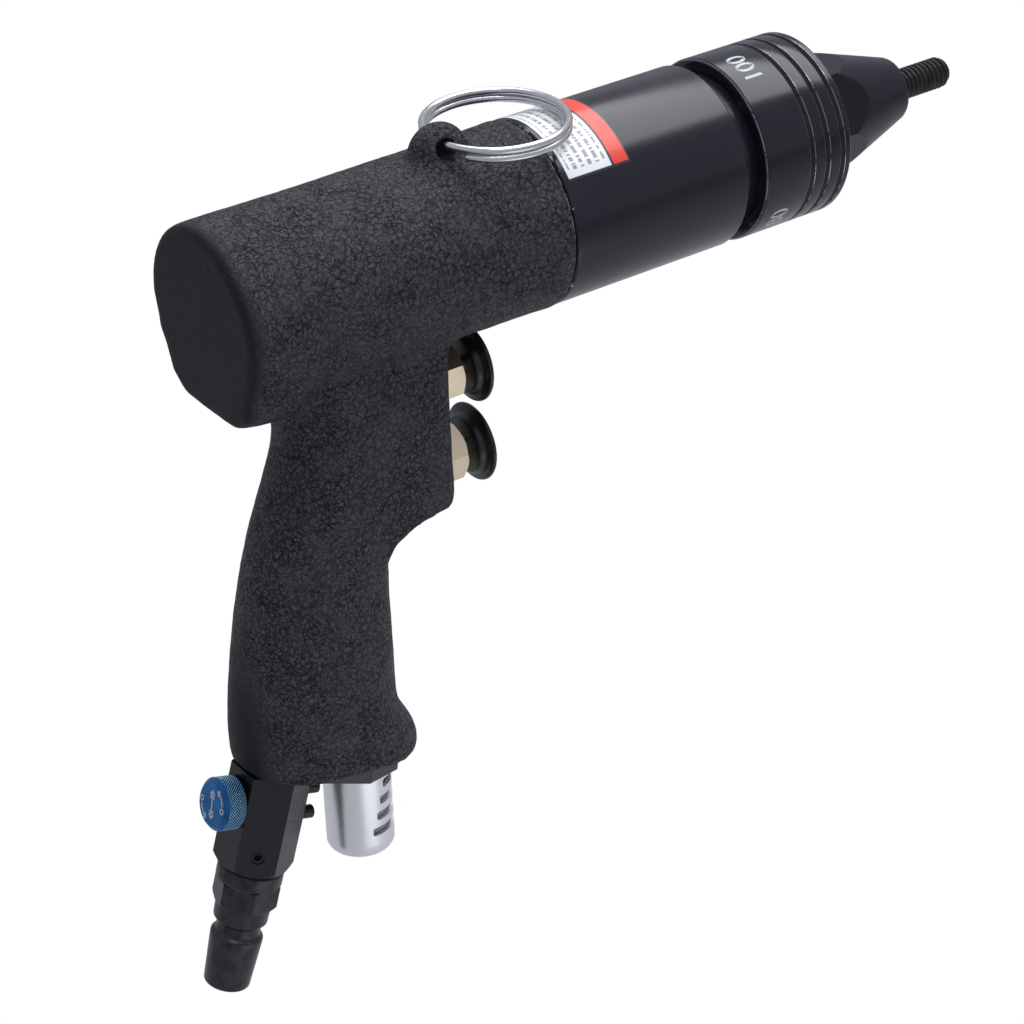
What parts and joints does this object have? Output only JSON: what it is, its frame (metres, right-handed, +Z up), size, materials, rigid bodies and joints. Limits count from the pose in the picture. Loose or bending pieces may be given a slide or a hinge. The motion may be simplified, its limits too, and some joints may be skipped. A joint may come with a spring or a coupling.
{
  "type": "pneumatic rivet gun",
  "caption": "Pistol-grip pneumatic rivet gun with a threaded mandrel, fluted setting collar, trigger buttons, hanging ring, air plug with flow knob, and exhaust muffler.",
  "frame": {"origin": "centre of the nosepiece's front face, on the mandrel's axis", "axes": "+X forward along the mandrel, +Y to the tool's left, +Z up"},
  "size_m": [0.2345, 0.0456, 0.2131],
  "materials": {
    "coated_housing": "textured black coating, satin",
    "black_anodised": "gloss black anodised",
    "black_oxide": "black oxide, lightly oiled",
    "black_plate": "satin black anodised",
    "steel": "ground or turned steel",
    "zinc_wire": "zinc plated wire",
    "brass": "turned and milled brass",
    "button_plastic": "semi gloss black plastic",
    "vane_composite": "phenolic resin composite",
    "rubber": "matt rubber",
    "felt": "porous felt",
    "bright_aluminium": "satin aluminium",
    "mesh": "woven steel mesh",
    "blue_anodised": "blue anodised, satin",
    "label_print": "printed vinyl, white over red, no lettering"
  },
  "bodies": {
    "body": {"housing": "coated_housing", "butt_gasket": "rubber", "butt_plate": "black_plate", "butt_screws": "black_oxide", "barrel": "black_anodised", "nose_holder": "steel", "nosepiece": "black_oxide", "front_bush": "brass", "barrel_label": "label_print", "rear_end_plate": "steel", "front_end_plate": "steel", "rear_motor_bearing": "steel", "front_motor_bearing": "steel", "motor_liner": "steel", "ring_gear": "steel", "spindle_bearing": "steel", "bearing_holder": "steel", "upper_valve_body": "brass", "lower_valve_body": "brass", "upper_valve_spring": "steel", "lower_valve_spring": "steel", "inlet_block": "black_plate", "set_screw": "black_oxide", "spool_retaining_screws": "black_oxide", "inlet_seal": "rubber", "muffler": "bright_aluminium", "muffler_screen": "mesh", "muffler_felt": "felt"},
    "spindle": {"spindle": "steel", "planet_pins": "steel", "clutch_driver": "steel", "clutch_disc": "steel", "clutch_spring": "steel", "mandrel_chuck": "steel", "chuck_cap": "steel", "mandrel": "black_oxide"},
    "rotor": {"rotor": "steel", "rotor_vanes": "vane_composite"},
    "planet_1": {"planet_gear_1": "steel"},
    "planet_2": {"planet_gear_2": "steel"},
    "planet_3": {"planet_gear_3": "steel"},
    "collar": {"setting_collar": "black_anodised"},
    "preload": {"preload_ring": "steel"},
    "upper_trigger": {"upper_button": "button_plastic", "upper_valve_stem": "steel"},
    "lower_trigger": {"lower_button": "button_plastic", "lower_valve_stem": "steel"},
    "flow": {"flow_knob": "blue_anodised", "flow_spool": "steel"},
    "ring": {"hanging_ring": "zinc_wire"},
    "plug": {"air_plug": "black_oxide", "swivel_ring": "black_oxide"}
  },
  "joints": [
    {"name": "spindle_turn", "type": "hinge", "parent": "body", "child": "spindle", "pos_m": [0, 0, 0], "axis": [1, 0, 0], "continuous": true},
    {"name": "rotor_turn", "type": "hinge", "parent": "body", "child": "rotor", "pos_m": [0, 0, 0], "axis": [1, 0, 0], "continuous": true},
    {"name": "planet_1_turn", "type": "hinge", "parent": "spindle", "child": "planet_1", "pos_m": [-0.1343, 0, 0.0081], "axis": [1, 0, 0], "continuous": true},
    {"name": "planet_2_turn", "type": "hinge", "parent": "spindle", "child": "planet_2", "pos_m": [-0.1343, 0.00701, -0.00405], "axis": [1, 0, 0], "continuous": true},
    {"name": "planet_3_turn", "type": "hinge", "parent": "spindle", "child": "planet_3", "pos_m": [-0.1343, -0.00701, -0.00405], "axis": [1, 0, 0], "continuous": true},
    {"name": "collar_turn", "type": "hinge", "parent": "body", "child": "collar", "pos_m": [-0.045, 0, 0], "axis": [1, 0, 0], "range_deg": [0, 270]},
    {"name": "preload_slide", "type": "slide", "parent": "body", "child": "preload", "axis": [1, 0, 0], "range_m": [0, 0.003]},
    {"name": "upper_trigger_press", "type": "slide", "parent": "body", "child": "upper_trigger", "axis": [-1, 0, 0], "range_m": [0, 0.002], "stiffness_N_per_m": 4000, "springref_m": -0.001, "deforming": ["upper_valve_spring"]},
    {"name": "lower_trigger_press", "type": "slide", "parent": "body", "child": "lower_trigger", "axis": [-1, 0, 0], "range_m": [0, 0.002], "stiffness_N_per_m": 4000, "springref_m": -0.001, "deforming": ["lower_valve_spring"]},
    {"name": "flow_knob_turn", "type": "hinge", "parent": "body", "child": "flow", "pos_m": [-0.19506, 0, -0.13239], "axis": [0.954, 0, -0.2999], "range_deg": [-90, 90]},
    {"name": "hanging_ring_swing", "type": "hinge", "parent": "body", "child": "ring", "pos_m": [-0.1372, 0, 0.02465], "axis": [0, -1, 0], "range_deg": [0, 180]},
    {"name": "air_plug_swivel", "type": "hinge", "parent": "body", "child": "plug", "pos_m": [-0.2006, 0, -0.15], "axis": [0.2999, 0, 0.954], "continuous": true}
  ],
  "couplings": [
    {"joint": "rotor_turn", "follows": "spindle_turn", "ratio": 4.5},
    {"joint": "planet_1_turn", "follows": "spindle_turn", "ratio": -2.8},
    {"joint": "planet_2_turn", "follows": "spindle_turn", "ratio": -2.8},
    {"joint": "planet_3_turn", "follows": "spindle_turn", "ratio": -2.8},
    {"joint": "preload_slide", "follows": "collar_turn", "m_per_rad": 0.00063}
  ]
}
